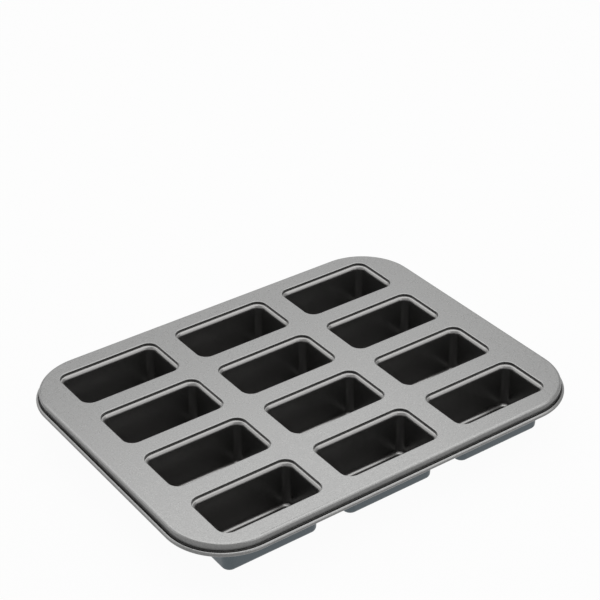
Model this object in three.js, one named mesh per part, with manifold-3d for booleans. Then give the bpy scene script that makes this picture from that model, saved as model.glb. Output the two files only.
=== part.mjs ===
// Mini loaf pan with loose bases. Millimetres, +Z up.
// The long side runs along X. The origin is the middle of the footprint, on the surface under the cups.
import * as THREE from "three";
import { mergeVertices } from "three/addons/utils/BufferGeometryUtils.js";
import Module from "manifold-3d";

// The grid of wells.
const COLUMNS = 3;
const ROWS = 4;
const WELL_LENGTH = 86.4; // opening in the deck, along X
const WELL_WIDTH = 47.2; // opening in the deck, along Y
const WELL_CORNER_RADIUS = 9;
const COLUMN_BRIDGE = 18.6; // deck left between two openings, along X
const ROW_BRIDGE = 15.9; // deck left between two openings, along Y

// The deck and its rim.
const PAN_HEIGHT = 38.9;
const FRAME_SHEET = 0.6;
const END_MARGIN = 25.6; // from the last opening to the skirt's widest place, along X
const SIDE_MARGIN = 15.65; // the same along Y
const RIM_CORNER_RADIUS = 46.5; // plan radius of the skirt's widest place
const SHOULDER_BEND = 1.6; // inside radius where the deck turns down into the skirt
const SKIRT_LEAN = THREE.MathUtils.degToRad(3.5); // the skirt draws in below the shoulder
const COLLAR_DROP = 1.7; // the turned-down edge of an opening, below the deck's underside

// The rolled edge, where the skirt's foot curls outward and up, and the wire in it.
const ROLL_DROP = 7.9; // from the deck's top to the wire's middle
const ROLL_TURN = THREE.MathUtils.degToRad(262);
const WIRE_RADIUS = 1.05;
const WIRE_CLEARANCE = 0.1;

// The cups.
const CUP_SHEET = 0.6;
const FLANGE_WIDTH = 3.5; // under the deck, outside the opening
const LIP_REACH = 2.9; // the lip's rounding from the flange into the wall, across
const LIP_DROP = 3.7; // and down
const FLOOR_LENGTH = 78.5; // inside, where the walls end in the floor fillet, along X
const FLOOR_WIDTH = 38.4; // the same along Y
const FLOOR_CORNER_RADIUS = 6;
const FLOOR_FILLET = 2.8; // inside, between the wall and the ledge
const LEDGE_WIDTH = 2.6; // flat seat under a loose base

// The loose bases.
const BASE_SHEET = 0.8;
const BASE_CLEARANCE = 0.3; // from the plate's edge to the start of the floor fillet

// Finishes: a grey non-stick coating over steel, darker inside the cups, and dark steel wire.
const DECK_COLOUR = 0x7c7c7d;
const CUP_COLOUR = 0x4c4e50;
const BASE_COLOUR = 0x434345;
const COATING_ROUGHNESS = 0.42;
const COATING_METALNESS = 0.6;
const WIRE_COLOUR = 0x808080;
const WIRE_ROUGHNESS = 0.4;

// Fineness of the round stretches.
const WELL_CORNER_STEPS = 4;
const RIM_CORNER_STEPS = 8;
const SHOULDER_STEPS = 3;
const ROLL_STEPS = 10;
const WIRE_SIDES = 8;
const LIP_STEPS = 3;
const FILLET_STEPS = 3;

// Sizes that follow from these.
const COLUMN_PITCH = WELL_LENGTH + COLUMN_BRIDGE;
const ROW_PITCH = WELL_WIDTH + ROW_BRIDGE;
const SKIRT_HALF_X = ((COLUMNS - 1) * COLUMN_PITCH + WELL_LENGTH) / 2 + END_MARGIN;
const SKIRT_HALF_Y = ((ROWS - 1) * ROW_PITCH + WELL_WIDTH) / 2 + SIDE_MARGIN;
const COLLAR_DEPTH = FRAME_SHEET + COLLAR_DROP;
const FLANGE_TOP = PAN_HEIGHT - COLLAR_DEPTH;
const LIP_FOOT = FLANGE_TOP - LIP_DROP;
const FILLET_TOP = CUP_SHEET + FLOOR_FILLET;
const SHOULDER_RADIUS = SHOULDER_BEND + FRAME_SHEET;
const RIM_LAP = 2 * FRAME_SHEET; // how far the rim's section runs into the deck plate
const ROLL_RADIUS = WIRE_RADIUS + WIRE_CLEARANCE + FRAME_SHEET / 2; // at the middle of the sheet
const ROLL_Z = PAN_HEIGHT - ROLL_DROP;

// The roll's middle, out from the skirt's widest place, so that the skirt runs straight into the roll.
const BEND_SPAN = SHOULDER_RADIUS + WIRE_RADIUS + WIRE_CLEARANCE;
const SKIRT_FALL = (ROLL_DROP - SHOULDER_RADIUS) * Math.sin(SKIRT_LEAN);
const ROLL_OUT = (BEND_SPAN - SKIRT_FALL) / Math.cos(SKIRT_LEAN) - SHOULDER_RADIUS;

const wasm = await Module();
wasm.setup();

// A plan outline: a rectangle with round corners, counted anticlockwise from above.
function outline(halfX, halfY, radius, steps) {
  const points = [];
  for (let corner = 0; corner < 4; corner++) {
    const signX = corner === 0 || corner === 3 ? 1 : -1;
    const signY = corner < 2 ? 1 : -1;
    for (let step = 0; step <= steps; step++) {
      const angle = ((corner + step / steps) * Math.PI) / 2;
      const x = signX * (halfX - radius) + radius * Math.cos(angle);
      const y = signY * (halfY - radius) + radius * Math.sin(angle);
      points.push(new THREE.Vector2(x, y));
    }
  }
  return points;
}

// An arc of a section, as points [out, z], both ends included. Angles are from the outward direction.
function arc(centreOut, centreZ, radius, from, to, steps) {
  const points = [];
  for (let step = 0; step <= steps; step++) {
    const angle = from + ((to - from) * step) / steps;
    points.push([centreOut + radius * Math.cos(angle), centreZ + radius * Math.sin(angle)]);
  }
  return points;
}

// A closed ring of sheet or wire. Each loop is a plan outline at its height, and the last joins the first.
function ringGeometry(loops) {
  const count = loops[0].points.length;
  const position = loops.flatMap(({ points, z }) => points.flatMap((p) => [p.x, p.y, z]));
  const index = [];
  for (let loop = 0; loop < loops.length; loop++) {
    const next = (loop + 1) % loops.length;
    for (let k = 0; k < count; k++) {
      const beside = (k + 1) % count;
      const a = loop * count + k;
      const b = loop * count + beside;
      const c = next * count + beside;
      const d = next * count + k;
      index.push(a, b, c, a, c, d);
    }
  }
  const geometry = new THREE.BufferGeometry();
  geometry.setAttribute("position", new THREE.Float32BufferAttribute(position, 3));
  geometry.setIndex(index);
  geometry.computeVertexNormals();
  return geometry;
}

// A flat plate of the given outline, with holes, standing on height z.
function plateGeometry(points, holes, thickness, z) {
  const shape = new THREE.Shape(points);
  shape.holes = holes.map((hole) => new THREE.Path(hole));
  const geometry = new THREE.ExtrudeGeometry(shape, { depth: thickness, bevelEnabled: false });
  return geometry.translate(0, 0, z);
}

function solidOf(geometry) {
  const bare = new THREE.BufferGeometry();
  bare.setAttribute("position", geometry.getAttribute("position"));
  bare.setIndex(geometry.getIndex());
  const merged = mergeVertices(bare);
  const vertProperties = merged.getAttribute("position").array;
  const triVerts = new Uint32Array(merged.getIndex().array);
  return new wasm.Manifold(new wasm.Mesh({ numProp: 3, vertProperties, triVerts }));
}

function geometryOf(solid) {
  const { vertProperties, triVerts } = solid.getMesh();
  const geometry = new THREE.BufferGeometry();
  geometry.setAttribute("position", new THREE.BufferAttribute(vertProperties, 3));
  geometry.setIndex(new THREE.BufferAttribute(triVerts, 1));
  geometry.computeVertexNormals();
  return geometry;
}

// Middles of the wells, from the front left.
function wellCentres() {
  const centres = [];
  for (let row = 0; row < ROWS; row++) {
    for (let column = 0; column < COLUMNS; column++) {
      centres.push({
        label: `r${row + 1}c${column + 1}`,
        x: (column - (COLUMNS - 1) / 2) * COLUMN_PITCH,
        y: (row - (ROWS - 1) / 2) * ROW_PITCH,
      });
    }
  }
  return centres;
}

// A well's plan outline, offset outward from the opening in the deck.
function wellOutline(offset) {
  return outline(
    WELL_LENGTH / 2 + offset,
    WELL_WIDTH / 2 + offset,
    WELL_CORNER_RADIUS + offset,
    WELL_CORNER_STEPS,
  );
}

// The rim's plan outline, offset outward from the skirt's widest place.
function rimOutline(offset) {
  return outline(
    SKIRT_HALF_X + offset,
    SKIRT_HALF_Y + offset,
    RIM_CORNER_RADIUS + offset,
    RIM_CORNER_STEPS,
  );
}

const rimLoops = (section) => section.map(([out, z]) => ({ points: rimOutline(out), z }));

// One face of the rim's sheet, from the deck to the roll's end. side is 1 on the outer face, -1 inside.
function rimFace(side) {
  const shift = (side * FRAME_SHEET) / 2;
  const shoulderMiddle = SHOULDER_RADIUS - FRAME_SHEET / 2;
  const shoulderZ = PAN_HEIGHT - SHOULDER_RADIUS;
  const deckZ = PAN_HEIGHT - FRAME_SHEET / 2 + shift;
  const foot = Math.PI - SKIRT_LEAN;
  return [
    [-SHOULDER_RADIUS - RIM_LAP, deckZ],
    ...arc(-SHOULDER_RADIUS, shoulderZ, shoulderMiddle + shift, Math.PI / 2, -SKIRT_LEAN, SHOULDER_STEPS),
    ...arc(ROLL_OUT, ROLL_Z, ROLL_RADIUS - shift, foot, foot + ROLL_TURN, ROLL_STEPS),
  ];
}

// The deck sheet: a plate with turned-down openings, its shoulder, skirt and rolled edge.
function frameGeometry() {
  const moved = (points, { x, y }) => points.map((p) => new THREE.Vector2(p.x + x, p.y + y));
  const wells = wellCentres();
  const openings = wells.map((well) => moved(wellOutline(0), well));
  const plate = plateGeometry(
    rimOutline(-SHOULDER_RADIUS),
    openings,
    FRAME_SHEET,
    PAN_HEIGHT - FRAME_SHEET,
  );
  const rim = ringGeometry(rimLoops([...rimFace(-1), ...rimFace(1).reverse()]));
  const collars = wells.map((well, k) =>
    plateGeometry(moved(wellOutline(FRAME_SHEET), well), [openings[k]], COLLAR_DEPTH, FLANGE_TOP),
  );
  const solids = [plate, rim, ...collars].map(solidOf);
  return geometryOf(solids.reduce((whole, piece) => whole.add(piece)));
}

function wireGeometry() {
  const section = arc(ROLL_OUT, ROLL_Z, WIRE_RADIUS, 0, 2 * Math.PI, WIRE_SIDES).slice(0, -1);
  return ringGeometry(rimLoops(section));
}

// A cup's plan outline at the top of its floor fillet, offset outward from the inside.
function floorOutline(offset) {
  return outline(
    FLOOR_LENGTH / 2 + offset,
    FLOOR_WIDTH / 2 + offset,
    FLOOR_CORNER_RADIUS + offset,
    WELL_CORNER_STEPS,
  );
}

// Points [out, z] of one face of a cup's lip, a quarter of an ellipse, a given depth below its surface.
function lipFace(depth) {
  const points = [];
  for (let step = 0; step <= LIP_STEPS; step++) {
    const turn = ((step / LIP_STEPS) * Math.PI) / 2;
    const normal = new THREE.Vector2(-Math.sin(turn) / LIP_REACH, Math.cos(turn) / LIP_DROP).normalize();
    const out = -LIP_REACH * Math.sin(turn) - depth * normal.x;
    points.push([out, LIP_FOOT + LIP_DROP * Math.cos(turn) - depth * normal.y]);
  }
  return points;
}

// One face of a cup's sheet, from the flange to the ledge: sheet is 0 inside and the thickness outside.
function cupFace(sheet) {
  const fillet = arc(-FLOOR_FILLET, FILLET_TOP, FLOOR_FILLET + sheet, 0, -Math.PI / 2, FILLET_STEPS);
  return [
    { points: wellOutline(FLANGE_WIDTH), z: FLANGE_TOP - sheet },
    ...lipFace(sheet).map(([out, z]) => ({ points: wellOutline(out), z })),
    ...fillet.map(([out, z]) => ({ points: floorOutline(out), z })),
    { points: floorOutline(-FLOOR_FILLET - LEDGE_WIDTH), z: CUP_SHEET - sheet },
  ];
}

function cupGeometry() {
  return ringGeometry([...cupFace(0), ...cupFace(CUP_SHEET).reverse()]);
}

function baseGeometry() {
  return plateGeometry(floorOutline(-FLOOR_FILLET - BASE_CLEARANCE), [], BASE_SHEET, 0);
}

function finish(color, roughness, metalness) {
  return new THREE.MeshStandardMaterial({ color, roughness, metalness });
}

const coating = (color) => finish(color, COATING_ROUGHNESS, COATING_METALNESS);

function part(name, geometry, material) {
  const mesh = new THREE.Mesh(geometry, material);
  mesh.name = name;
  return mesh;
}

const pan = new THREE.Group();
pan.name = "mini_loaf_pan";
pan.add(part("deck_frame", frameGeometry(), coating(DECK_COLOUR)));
pan.add(part("rim_wire", wireGeometry(), finish(WIRE_COLOUR, WIRE_ROUGHNESS, 1)));

const cup = cupGeometry();
const base = baseGeometry();
for (const { label, x, y } of wellCentres()) {
  const well = new THREE.Group();
  well.position.set(x, y, 0);
  well.add(part(`cup_${label}`, cup, coating(CUP_COLOUR)));
  const plate = part(`base_${label}`, base, coating(BASE_COLOUR));
  plate.position.z = CUP_SHEET;
  well.add(plate);
  pan.add(well);
}

export default pan;
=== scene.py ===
"""Looks of the mini loaf pan, in metres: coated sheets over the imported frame, a studio and the camera."""
import math

import bpy
from mathutils import Matrix, Vector
from mathutils.geometry import tessellate_polygon


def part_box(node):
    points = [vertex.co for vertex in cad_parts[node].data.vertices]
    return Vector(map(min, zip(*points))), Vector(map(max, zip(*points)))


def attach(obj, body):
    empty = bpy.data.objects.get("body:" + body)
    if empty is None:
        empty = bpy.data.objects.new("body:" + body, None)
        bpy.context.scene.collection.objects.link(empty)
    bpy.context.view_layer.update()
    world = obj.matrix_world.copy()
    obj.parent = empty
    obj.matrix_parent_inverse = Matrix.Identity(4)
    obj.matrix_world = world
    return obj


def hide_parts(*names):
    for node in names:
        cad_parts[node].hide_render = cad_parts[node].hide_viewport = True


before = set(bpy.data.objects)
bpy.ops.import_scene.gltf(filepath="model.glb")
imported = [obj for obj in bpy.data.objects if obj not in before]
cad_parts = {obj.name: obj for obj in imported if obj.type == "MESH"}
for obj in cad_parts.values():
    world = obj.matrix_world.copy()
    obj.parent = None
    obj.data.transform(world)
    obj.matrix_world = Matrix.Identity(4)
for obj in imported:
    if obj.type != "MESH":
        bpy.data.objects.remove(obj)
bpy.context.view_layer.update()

MM = 0.001
RIGHT_ANGLE = math.pi / 2

# Sizes of the sheets and their bends
FRAME_SHEET = 0.6 * MM
SKIRT_X = 173.8 * MM
SKIRT_Y = 133.9 * MM
RIM_CORNER_RADIUS = 46.5 * MM
SHOULDER_RADIUS = 2.2 * MM
SKIRT_LEAN = math.radians(3.5)
ROLL_DROP = 7.9 * MM
ROLL_RADIUS = 1.45 * MM
ROLL_TURN = math.radians(262)
COLLAR_DEPTH = 2.3 * MM
COLLAR_EDGE = 0.7 * MM
SEAM_GAP = 0.2 * MM
CUP_SHEET = 0.6 * MM
FLANGE_WIDTH = 3.5 * MM
WELL_CORNER_RADIUS = 9 * MM
LIP_REACH = 2.9 * MM
LIP_DROP = 3.7 * MM
FLOOR_X = 39.25 * MM
FLOOR_Y = 19.2 * MM
FLOOR_CORNER_RADIUS = 6 * MM
FLOOR_FILLET = 2.8 * MM
LEDGE_WIDTH = 2.6 * MM
BASE_EDGE = 0.25 * MM

# Fineness of the round stretches
CORNER_STEPS = 14
RIM_CORNER_STEPS = 40
BEND_STEPS = 10
ROLL_STEPS = 36
EDGE_STEPS = 4
EASE = 0.35 * MM  # flat strip kept beside each bend, so that flat faces shade flat

# The photograph's view
CAMERA_AZIMUTH = math.radians(-35.146)
CAMERA_ELEVATION = math.radians(31.829)
CAMERA_ROLL = math.radians(-0.819)
CAMERA_DISTANCE = 1387.1 * MM
CAMERA_TARGET_X = 69.2 * MM
CAMERA_TARGET_Y = 97.12 * MM
LENS_MM = 100.243
SENSOR_MM = 36

# Studio light: a dim room, a softbox over the pan and three weaker panels round it
ROOM_LIGHT = 0.16
SOFTBOX_RADIANCE = 2
SOFTBOX_SIZE = (1.64, 2.09)
SOFTBOX_PLACE = (0.32, 0.295, 1.138)
FRONT_PANEL_RADIANCE = 1.1
BACK_PANEL_RADIANCE = 0.9
PANEL_SIZE = (1.8, 1.2)
FRONT_PANEL_PLACE = (0.75, -1.2, 0.85)
BACK_PANEL_PLACE = (-0.92, 1.2, 0.85)
FAR_PANEL_RADIANCE = 0.4
FAR_PANEL_SIZE = (2, 1)
FAR_PANEL_PLACE = (1.3, 1.85, 0.9)
FLOOR_ALBEDO = 0.42
FLOOR_LOW = (-0.45, -0.42)
FLOOR_HIGH = (1.2, 1.2)
FLOOR_ROUGHNESS = 0.9
FLOOR_DROP = 0.1 * MM  # keeps the floor clear of the cups' feet
WHITE_SHARE = 0.96  # of the floor, to the camera and in reflections. The rest keeps the shadow

# Coats: colour, roughness, contrast of the grain and share of metal
COAT_METAL = 0.97
DECK_COAT = ((0.182, 0.182, 0.18), 0.3, 0.13, COAT_METAL)
CUP_COAT = ((0.185, 0.183, 0.18), 0.29, 0.03, 0.95)
# The cups' outside is a blue-grey coat of its own, set at about half the inside coat's brightness as painted
# shade for the outsides under the rim.
CUP_OUTER_COAT_AND_SHADE = ((0.094, 0.11, 0.12), 0.4, 0.06, COAT_METAL)
# The bases' colour is far darker than the cups' coat they share: painted shade for the floors of the deep
# wells.
BASE_COAT_WITH_PAINTED_SHADE = ((0.065, 0.063, 0.063), 0.32, 0.05, COAT_METAL)
# The wire is coloured as dark as the coat, not bare steel: painted shade for the slit of the rolled edge.
WIRE_PAINTED_SHADE_COAT = ((0.17, 0.17, 0.168), 0.4, 0.1, 1)

# Grain of the coats: scale and detail of each noise, the noise's usual range, and the bumps
TINT_NOISE = (900, 3)
ROUGHNESS_NOISE = (350, 4)
BUMP_NOISE = (1800, 2)
NOISE_LOW, NOISE_HIGH = 0.3, 0.7
BUMP_STRENGTH = 0.12
BUMP_HEIGHT = 0.05 * MM

DECK_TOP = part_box("deck_frame")[1].z
FLANGE_TOP = DECK_TOP - COLLAR_DEPTH
WALL_TOP = FLANGE_TOP - LIP_DROP
FILLET_Z = CUP_SHEET + FLOOR_FILLET


def wells():
    """Label and middle of each well, read from the cups' boxes."""
    found = []
    for node in sorted(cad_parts):
        if node.startswith("cup_"):
            low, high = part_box(node)
            found.append((node[len("cup_"):], (low + high).to_2d() / 2))
    return found


WELLS = wells()
CUP_LOW, CUP_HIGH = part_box("cup_" + WELLS[0][0])
OPENING_X = (CUP_HIGH.x - CUP_LOW.x) / 2 - FLANGE_WIDTH
OPENING_Y = (CUP_HIGH.y - CUP_LOW.y) / 2 - FLANGE_WIDTH


def make_camera():
    back = Vector((
        math.sin(CAMERA_AZIMUTH) * math.cos(CAMERA_ELEVATION),
        -math.cos(CAMERA_AZIMUTH) * math.cos(CAMERA_ELEVATION),
        math.sin(CAMERA_ELEVATION),
    ))
    level = Vector((0, 0, 1)).cross(back).normalized()
    upright = back.cross(level)
    right = math.cos(CAMERA_ROLL) * level + math.sin(CAMERA_ROLL) * upright
    up = back.cross(right)
    place = Vector((CAMERA_TARGET_X, CAMERA_TARGET_Y, DECK_TOP)) + back * CAMERA_DISTANCE
    data = bpy.data.cameras.new("camera")
    data.lens = LENS_MM
    data.sensor_width = SENSOR_MM
    camera = bpy.data.objects.new("camera", data)
    camera.matrix_world = Matrix.Translation(place) @ Matrix((right, up, back)).transposed().to_4x4()
    bpy.context.scene.collection.objects.link(camera)
    bpy.context.scene.camera = camera


def arc(centre, radius, start, end, steps):
    """Points (out, z) of an arc, both ends included. Angles are from the outward direction."""
    points = []
    for step in range(steps + 1):
        angle = start + (end - start) * step / steps
        points.append((centre[0] + radius * math.cos(angle), centre[1] + radius * math.sin(angle)))
    return points


def cap(start, end):
    """Half circle from one face's end to the other's, round a sheet's cut edge, without its two ends."""
    middle = (Vector(start) + Vector(end)) / 2
    reach = Vector(start) - middle
    points = []
    for step in range(1, 2 * EDGE_STEPS):
        turned = Matrix.Rotation(math.pi * step / (2 * EDGE_STEPS), 2) @ reach
        points.append(tuple(middle + turned))
    return points


def straight(start, end):
    """Two points on a straight stretch, close to its ends."""
    a, b = Vector(start), Vector(end)
    step = (b - a).normalized() * EASE
    return [tuple(a + step), tuple(b - step)]


def outline(half_x, half_y, radius, steps):
    """Plan of a rectangle with round corners, anticlockwise, with an easing point beside each corner."""
    points = []
    for corner in range(4):
        sign_x = 1 if corner in (0, 3) else -1
        sign_y = 1 if corner < 2 else -1
        centre = Vector((sign_x * (half_x - radius), sign_y * (half_y - radius)))
        turned = [corner * RIGHT_ANGLE + RIGHT_ANGLE * step / steps for step in range(steps + 1)]
        round_points = [centre + radius * Vector((math.cos(a), math.sin(a))) for a in turned]
        along_in = Vector((-math.sin(turned[0]), math.cos(turned[0])))
        along_out = Vector((-math.sin(turned[-1]), math.cos(turned[-1])))
        points += [round_points[0] - along_in * EASE, *round_points, round_points[-1] + along_out * EASE]
    return points


def rim_outline(out):
    return outline(SKIRT_X + out, SKIRT_Y + out, RIM_CORNER_RADIUS + out, RIM_CORNER_STEPS)


def well_outline(out):
    return outline(OPENING_X + out, OPENING_Y + out, WELL_CORNER_RADIUS + out, CORNER_STEPS)


def floor_outline(out):
    """Plan outline of a cup's inside at the top of its floor fillet, offset outward."""
    return outline(FLOOR_X + out, FLOOR_Y + out, FLOOR_CORNER_RADIUS + out, CORNER_STEPS)


class Sheet:
    """Collects the loops and faces of one closed sheet-metal piece."""

    def __init__(self):
        self.vertices = []
        self.faces = []

    def loop(self, points, z):
        first = len(self.vertices)
        self.vertices += [(p.x, p.y, z) for p in points]
        return list(range(first, len(self.vertices)))

    def band(self, one, other):
        count = len(one)
        for k in range(count):
            beside = (k + 1) % count
            self.faces.append((one[k], one[beside], other[beside], other[k]))

    def chain(self, loops):
        for one, other in zip(loops, loops[1:]):
            self.band(one, other)

    def fill(self, outer, holes, upward):
        loops = [outer, *holes]
        order = [index for loop in loops for index in loop]
        corners = tessellate_polygon([[Vector(self.vertices[i]) for i in loop] for loop in loops])
        for triangle in corners:
            a, b, c = (order[k] for k in triangle)
            pa, pb, pc = (Vector(self.vertices[i]).to_2d() for i in (a, b, c))
            faces_up = (pb - pa).cross(pc - pa) > 0
            self.faces.append((a, b, c) if faces_up == upward else (a, c, b))

    def mesh(self, name):
        mesh = bpy.data.meshes.new(name)
        mesh.from_pydata(self.vertices, [], self.faces)
        mesh.shade_smooth()
        mesh.validate()
        return mesh


def rim_face(side):
    """One face of the rim's sheet from the deck to the end of the roll. side is 1 outside and -1 inside."""
    shift = side * FRAME_SHEET / 2
    middle = FRAME_SHEET / 2
    shoulder_middle = (-SHOULDER_RADIUS, DECK_TOP - SHOULDER_RADIUS)
    bends = SHOULDER_RADIUS + ROLL_RADIUS - middle
    fall = (ROLL_DROP - SHOULDER_RADIUS) * math.sin(SKIRT_LEAN)
    roll_middle = ((bends - fall) / math.cos(SKIRT_LEAN) - SHOULDER_RADIUS, DECK_TOP - ROLL_DROP)
    shoulder = arc(shoulder_middle, SHOULDER_RADIUS - middle + shift, RIGHT_ANGLE, -SKIRT_LEAN, BEND_STEPS)
    start = math.pi - SKIRT_LEAN
    rolled = arc(roll_middle, ROLL_RADIUS - shift, start, start + ROLL_TURN, ROLL_STEPS)
    flat = (shoulder[0][0] - EASE, shoulder[0][1])
    return [flat, *shoulder, *straight(shoulder[-1], rolled[0]), *rolled]


def collar_section():
    """Section of an opening's turned-down edge, from the deck's top round to its underside."""
    bottom = DECK_TOP - COLLAR_DEPTH + SEAM_GAP
    under = DECK_TOP - FRAME_SHEET
    edge = arc((COLLAR_EDGE, DECK_TOP - COLLAR_EDGE), COLLAR_EDGE, RIGHT_ANGLE, math.pi, BEND_STEPS)
    foot = FRAME_SHEET / 4
    inner = arc((foot, bottom + foot), foot, math.pi, 3 * RIGHT_ANGLE, EDGE_STEPS)
    outer = arc((FRAME_SHEET - foot, bottom + foot), foot, -RIGHT_ANGLE, 0, EDGE_STEPS)
    return [
        (COLLAR_EDGE + EASE, DECK_TOP),
        *edge,
        *inner,
        *outer,
        (FRAME_SHEET, under),
        (FRAME_SHEET + EASE, under),
    ]


def deck_mesh():
    sheet = Sheet()
    inside, outside = rim_face(-1), rim_face(1)
    section = [*inside, *cap(inside[-1], outside[-1]), *reversed(outside)]
    rim = [sheet.loop(rim_outline(out), z) for out, z in section]
    sheet.chain(rim)
    tops, unders = [], []
    for _, middle in WELLS:
        loops = []
        for out, z in collar_section():
            loops.append(sheet.loop([p + middle for p in well_outline(out)], z))
        sheet.chain(loops)
        tops.append(loops[0])
        unders.append(loops[-1])
    sheet.fill(rim[-1], tops, True)
    sheet.fill(rim[0], unders, False)
    return sheet.mesh("deck_sheet")


def cup_face(sheet_out):
    """Loops (outline, z) of one face of a cup, from the flange to the ledge. sheet_out is 0 on the inside."""
    lip = []
    for step in range(BEND_STEPS + 1):
        turn = RIGHT_ANGLE * step / BEND_STEPS
        point = Vector((-LIP_REACH * math.sin(turn), WALL_TOP + LIP_DROP * math.cos(turn)))
        facing = Vector((-math.sin(turn) / LIP_REACH, math.cos(turn) / LIP_DROP)).normalized()
        lip.append(tuple(point - facing * sheet_out))
    fillet = arc((-FLOOR_FILLET, FILLET_Z), FLOOR_FILLET + sheet_out, 0, -RIGHT_ANGLE, BEND_STEPS)
    flange = [(FLANGE_WIDTH - CUP_SHEET / 2, lip[0][1]), (EASE, lip[0][1])]
    ledge_end = -FLOOR_FILLET - LEDGE_WIDTH + CUP_SHEET / 2
    ledge = [(-FLOOR_FILLET - EASE, fillet[-1][1]), (ledge_end, fillet[-1][1])]
    return flange, lip, fillet, ledge


def cup_mesh():
    sheet = Sheet()
    inside, outside = cup_face(0), cup_face(CUP_SHEET)
    loops = []

    def add(points, plan):
        for out, z in points:
            loops.append(sheet.loop(plan(out), z))

    def wall(above, below):
        """Two loops on a straight wall, close to its ends."""
        top, foot = [Vector(sheet.vertices[i]) for i in above], [Vector(sheet.vertices[i]) for i in below]
        share = EASE / (top[0].z - foot[0].z)
        made = []
        for part in (share, 1 - share):
            points = [a.lerp(b, part) for a, b in zip(top, foot)]
            made.append(sheet.loop([p.to_2d() for p in points], points[0].z))
        return made

    flange, lip, fillet, ledge = inside
    add([*flange, *lip], well_outline)
    lip_end = len(loops)
    add([*fillet, *ledge], floor_outline)
    loops[lip_end:lip_end] = wall(loops[lip_end - 1], loops[lip_end])
    inner_count = len(loops)
    outer_flange, outer_lip, outer_fillet, outer_ledge = outside
    add(cap(ledge[-1], outer_ledge[-1]), floor_outline)
    add(reversed([*outer_fillet, *outer_ledge]), floor_outline)
    fillet_end = len(loops)
    add(reversed([*outer_flange, *outer_lip]), well_outline)
    loops[fillet_end:fillet_end] = reversed(wall(loops[fillet_end], loops[fillet_end - 1]))
    add(cap(outer_flange[0], flange[0]), well_outline)
    sheet.chain([*loops, loops[0]])
    mesh = sheet.mesh("cup_sheet")
    outer_from = inner_count * len(loops[0])
    for face in mesh.polygons[outer_from:]:
        face.material_index = 1
    return mesh


def base_mesh():
    low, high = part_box("base_" + WELLS[0][0])
    gap = (high.x - WELLS[0][1].x) - floor_outline(0)[1].x
    sheet = Sheet()
    under = arc((gap - BASE_EDGE, low.z + BASE_EDGE), BASE_EDGE, -RIGHT_ANGLE, 0, EDGE_STEPS)
    over = arc((gap - BASE_EDGE, high.z - BASE_EDGE), BASE_EDGE, 0, RIGHT_ANGLE, EDGE_STEPS)
    section = [(under[0][0] - EASE, low.z), *under, *over, (over[-1][0] - EASE, high.z)]
    loops = [sheet.loop(floor_outline(out), z) for out, z in section]
    sheet.chain(loops)
    sheet.fill(loops[0], [], False)
    sheet.fill(loops[-1], [], True)
    return sheet.mesh("base_plate")


def coating(name, coat):
    """Semi-gloss non-stick coating over steel. The grain is a fine speckle."""
    colour, roughness, grain, metal = coat
    material = bpy.data.materials.new(name)
    material.use_nodes = True
    nodes, links = material.node_tree.nodes, material.node_tree.links
    shader = nodes["Principled BSDF"]
    shader.inputs["Metallic"].default_value = metal
    where = nodes.new("ShaderNodeTexCoord")

    def noise(scale, detail):
        texture = nodes.new("ShaderNodeTexNoise")
        texture.inputs["Scale"].default_value = scale
        texture.inputs["Detail"].default_value = detail
        links.new(where.outputs["Object"], texture.inputs["Vector"])
        return texture.outputs["Fac"]

    def spread(source, low, high):
        mapped = nodes.new("ShaderNodeMapRange")
        mapped.inputs["From Min"].default_value = NOISE_LOW
        mapped.inputs["From Max"].default_value = NOISE_HIGH
        mapped.inputs["To Min"].default_value = low
        mapped.inputs["To Max"].default_value = high
        links.new(source, mapped.inputs["Value"])
        return mapped.outputs["Result"]

    tint = nodes.new("ShaderNodeMix")
    tint.data_type = "RGBA"
    tint.inputs["A"].default_value = (*[c * (1 - grain) for c in colour], 1)
    tint.inputs["B"].default_value = (*[c * (1 + grain) for c in colour], 1)
    links.new(spread(noise(*TINT_NOISE), 0, 1), tint.inputs["Factor"])
    links.new(tint.outputs["Result"], shader.inputs["Base Color"])
    uneven = spread(noise(*ROUGHNESS_NOISE), roughness * (1 - grain), roughness * (1 + grain))
    links.new(uneven, shader.inputs["Roughness"])
    bump = nodes.new("ShaderNodeBump")
    bump.inputs["Strength"].default_value = BUMP_STRENGTH
    bump.inputs["Distance"].default_value = BUMP_HEIGHT
    links.new(noise(*BUMP_NOISE), bump.inputs["Height"])
    links.new(bump.outputs["Normal"], shader.inputs["Normal"])
    return material


def add_piece(name, mesh, body, node, place):
    piece = bpy.data.objects.new(name, mesh)
    piece.location = place
    bpy.context.scene.collection.objects.link(piece)
    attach(piece, body)
    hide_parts(node)


def make_pan():
    deck_finish = coating("deck_coating", DECK_COAT)
    cup_finish = coating("cup_coating", CUP_COAT)
    # The outer coat's darkness is painted shade for the cups' outsides under the rim.
    outer_coat_and_shade = coating("cup_outer_coating_and_shade", CUP_OUTER_COAT_AND_SHADE)
    # The bases' material carries painted shade for the wells' floors.
    base_painted_shade_finish = coating("base_coating", BASE_COAT_WITH_PAINTED_SHADE)
    deck = deck_mesh()
    deck.materials.append(deck_finish)
    add_piece("deck_sheet", deck, "pan", "deck_frame", (0, 0, 0))
    cup, base = cup_mesh(), base_mesh()
    cup.materials.append(cup_finish)
    cup.materials.append(outer_coat_and_shade)
    base.materials.append(base_painted_shade_finish)
    for label, middle in WELLS:
        place = (middle.x, middle.y, 0)
        add_piece("cup_sheet_" + label, cup, "pan", "cup_" + label, place)
        body = "loose_base_" + label
        add_piece("base_plate_" + label, base, body, "base_" + label, place)
    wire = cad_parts["rim_wire"]
    wire.data.materials.clear()
    # The wire's dark colour is painted shade in the roll's slit.
    wire.data.materials.append(coating("wire_steel", WIRE_PAINTED_SHADE_COAT))


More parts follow.
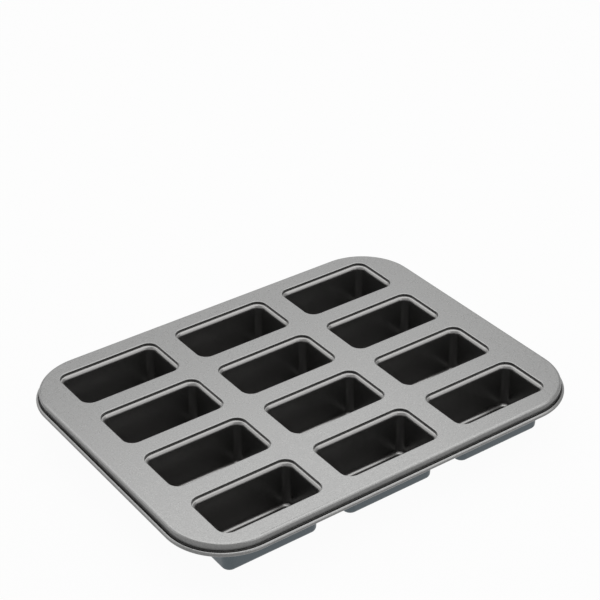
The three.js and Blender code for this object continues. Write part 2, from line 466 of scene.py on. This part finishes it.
def add_lamp(name, radiance, size, place, aim):
    """Rectangular area lamp that faces a point."""
    data = bpy.data.lights.new(name, "AREA")
    data.shape = "RECTANGLE"
    data.size, data.size_y = size
    data.energy = radiance * math.pi * size[0] * size[1]
    lamp = bpy.data.objects.new(name, data)
    lamp.location = place
    lamp.rotation_euler = (Vector(aim) - Vector(place)).to_track_quat("-Z", "Y").to_euler()
    bpy.context.scene.collection.objects.link(lamp)


def seen_rays(nodes, links):
    """Socket that is 1 for rays from the camera, a reflection or glass, and 0 for rays that only light."""
    rays = nodes.new("ShaderNodeLightPath")
    seen = rays.outputs["Is Camera Ray"]
    for kind in ("Is Glossy Ray", "Is Transmission Ray"):
        either = nodes.new("ShaderNodeMath")
        either.operation = "MAXIMUM"
        links.new(seen, either.inputs[0])
        links.new(rays.outputs[kind], either.inputs[1])
        seen = either.outputs[0]
    return seen


def floor_paint():
    """White paint that keeps a soft shadow and shows plain white to the camera and in reflections."""
    material = bpy.data.materials.new("floor_paint")
    material.use_nodes = True
    nodes, links = material.node_tree.nodes, material.node_tree.links
    shader = nodes["Principled BSDF"]
    shader.inputs["Base Color"].default_value = (FLOOR_ALBEDO, FLOOR_ALBEDO, FLOOR_ALBEDO, 1)
    shader.inputs["Roughness"].default_value = FLOOR_ROUGHNESS
    share = nodes.new("ShaderNodeMath")
    share.operation = "MULTIPLY"
    share.inputs[1].default_value = WHITE_SHARE
    links.new(seen_rays(nodes, links), share.inputs[0])
    white = nodes.new("ShaderNodeEmission")
    mix = nodes.new("ShaderNodeMixShader")
    links.new(share.outputs[0], mix.inputs[0])
    links.new(shader.outputs[0], mix.inputs[1])
    links.new(white.outputs[0], mix.inputs[2])
    links.new(mix.outputs[0], nodes["Material Output"].inputs["Surface"])
    return material


def make_studio():
    """A white floor, a dim room, a softbox overhead and three panels."""
    floor_mesh = bpy.data.meshes.new("floor")
    (x0, y0), (x1, y1) = FLOOR_LOW, FLOOR_HIGH
    floor_mesh.from_pydata([(x0, y0, 0), (x1, y0, 0), (x1, y1, 0), (x0, y1, 0)], [], [(0, 1, 2, 3)])
    floor_mesh.materials.append(floor_paint())
    floor = bpy.data.objects.new("floor", floor_mesh)
    floor.location.z = -FLOOR_DROP
    bpy.context.scene.collection.objects.link(floor)

    world = bpy.data.worlds.new("room")
    world.use_nodes = True
    nodes, links = world.node_tree.nodes, world.node_tree.links
    nodes["Background"].inputs["Color"].default_value = (1, 1, 1, 1)
    strength = nodes.new("ShaderNodeMapRange")
    strength.inputs["To Min"].default_value = ROOM_LIGHT
    links.new(seen_rays(nodes, links), strength.inputs["Value"])
    links.new(strength.outputs["Result"], nodes["Background"].inputs["Strength"])
    bpy.context.scene.world = world

    overhead = (SOFTBOX_PLACE[0], SOFTBOX_PLACE[1], 0)
    add_lamp("softbox", SOFTBOX_RADIANCE, SOFTBOX_SIZE, SOFTBOX_PLACE, overhead)
    add_lamp("front_panel", FRONT_PANEL_RADIANCE, PANEL_SIZE, FRONT_PANEL_PLACE, (0, 0, DECK_TOP))
    add_lamp("back_panel", BACK_PANEL_RADIANCE, PANEL_SIZE, BACK_PANEL_PLACE, (0, 0, DECK_TOP))
    add_lamp("far_panel", FAR_PANEL_RADIANCE, FAR_PANEL_SIZE, FAR_PANEL_PLACE, (0, 0, DECK_TOP))


make_camera()
make_pan()
make_studio()
bpy.context.scene.view_settings.view_transform = "Standard"
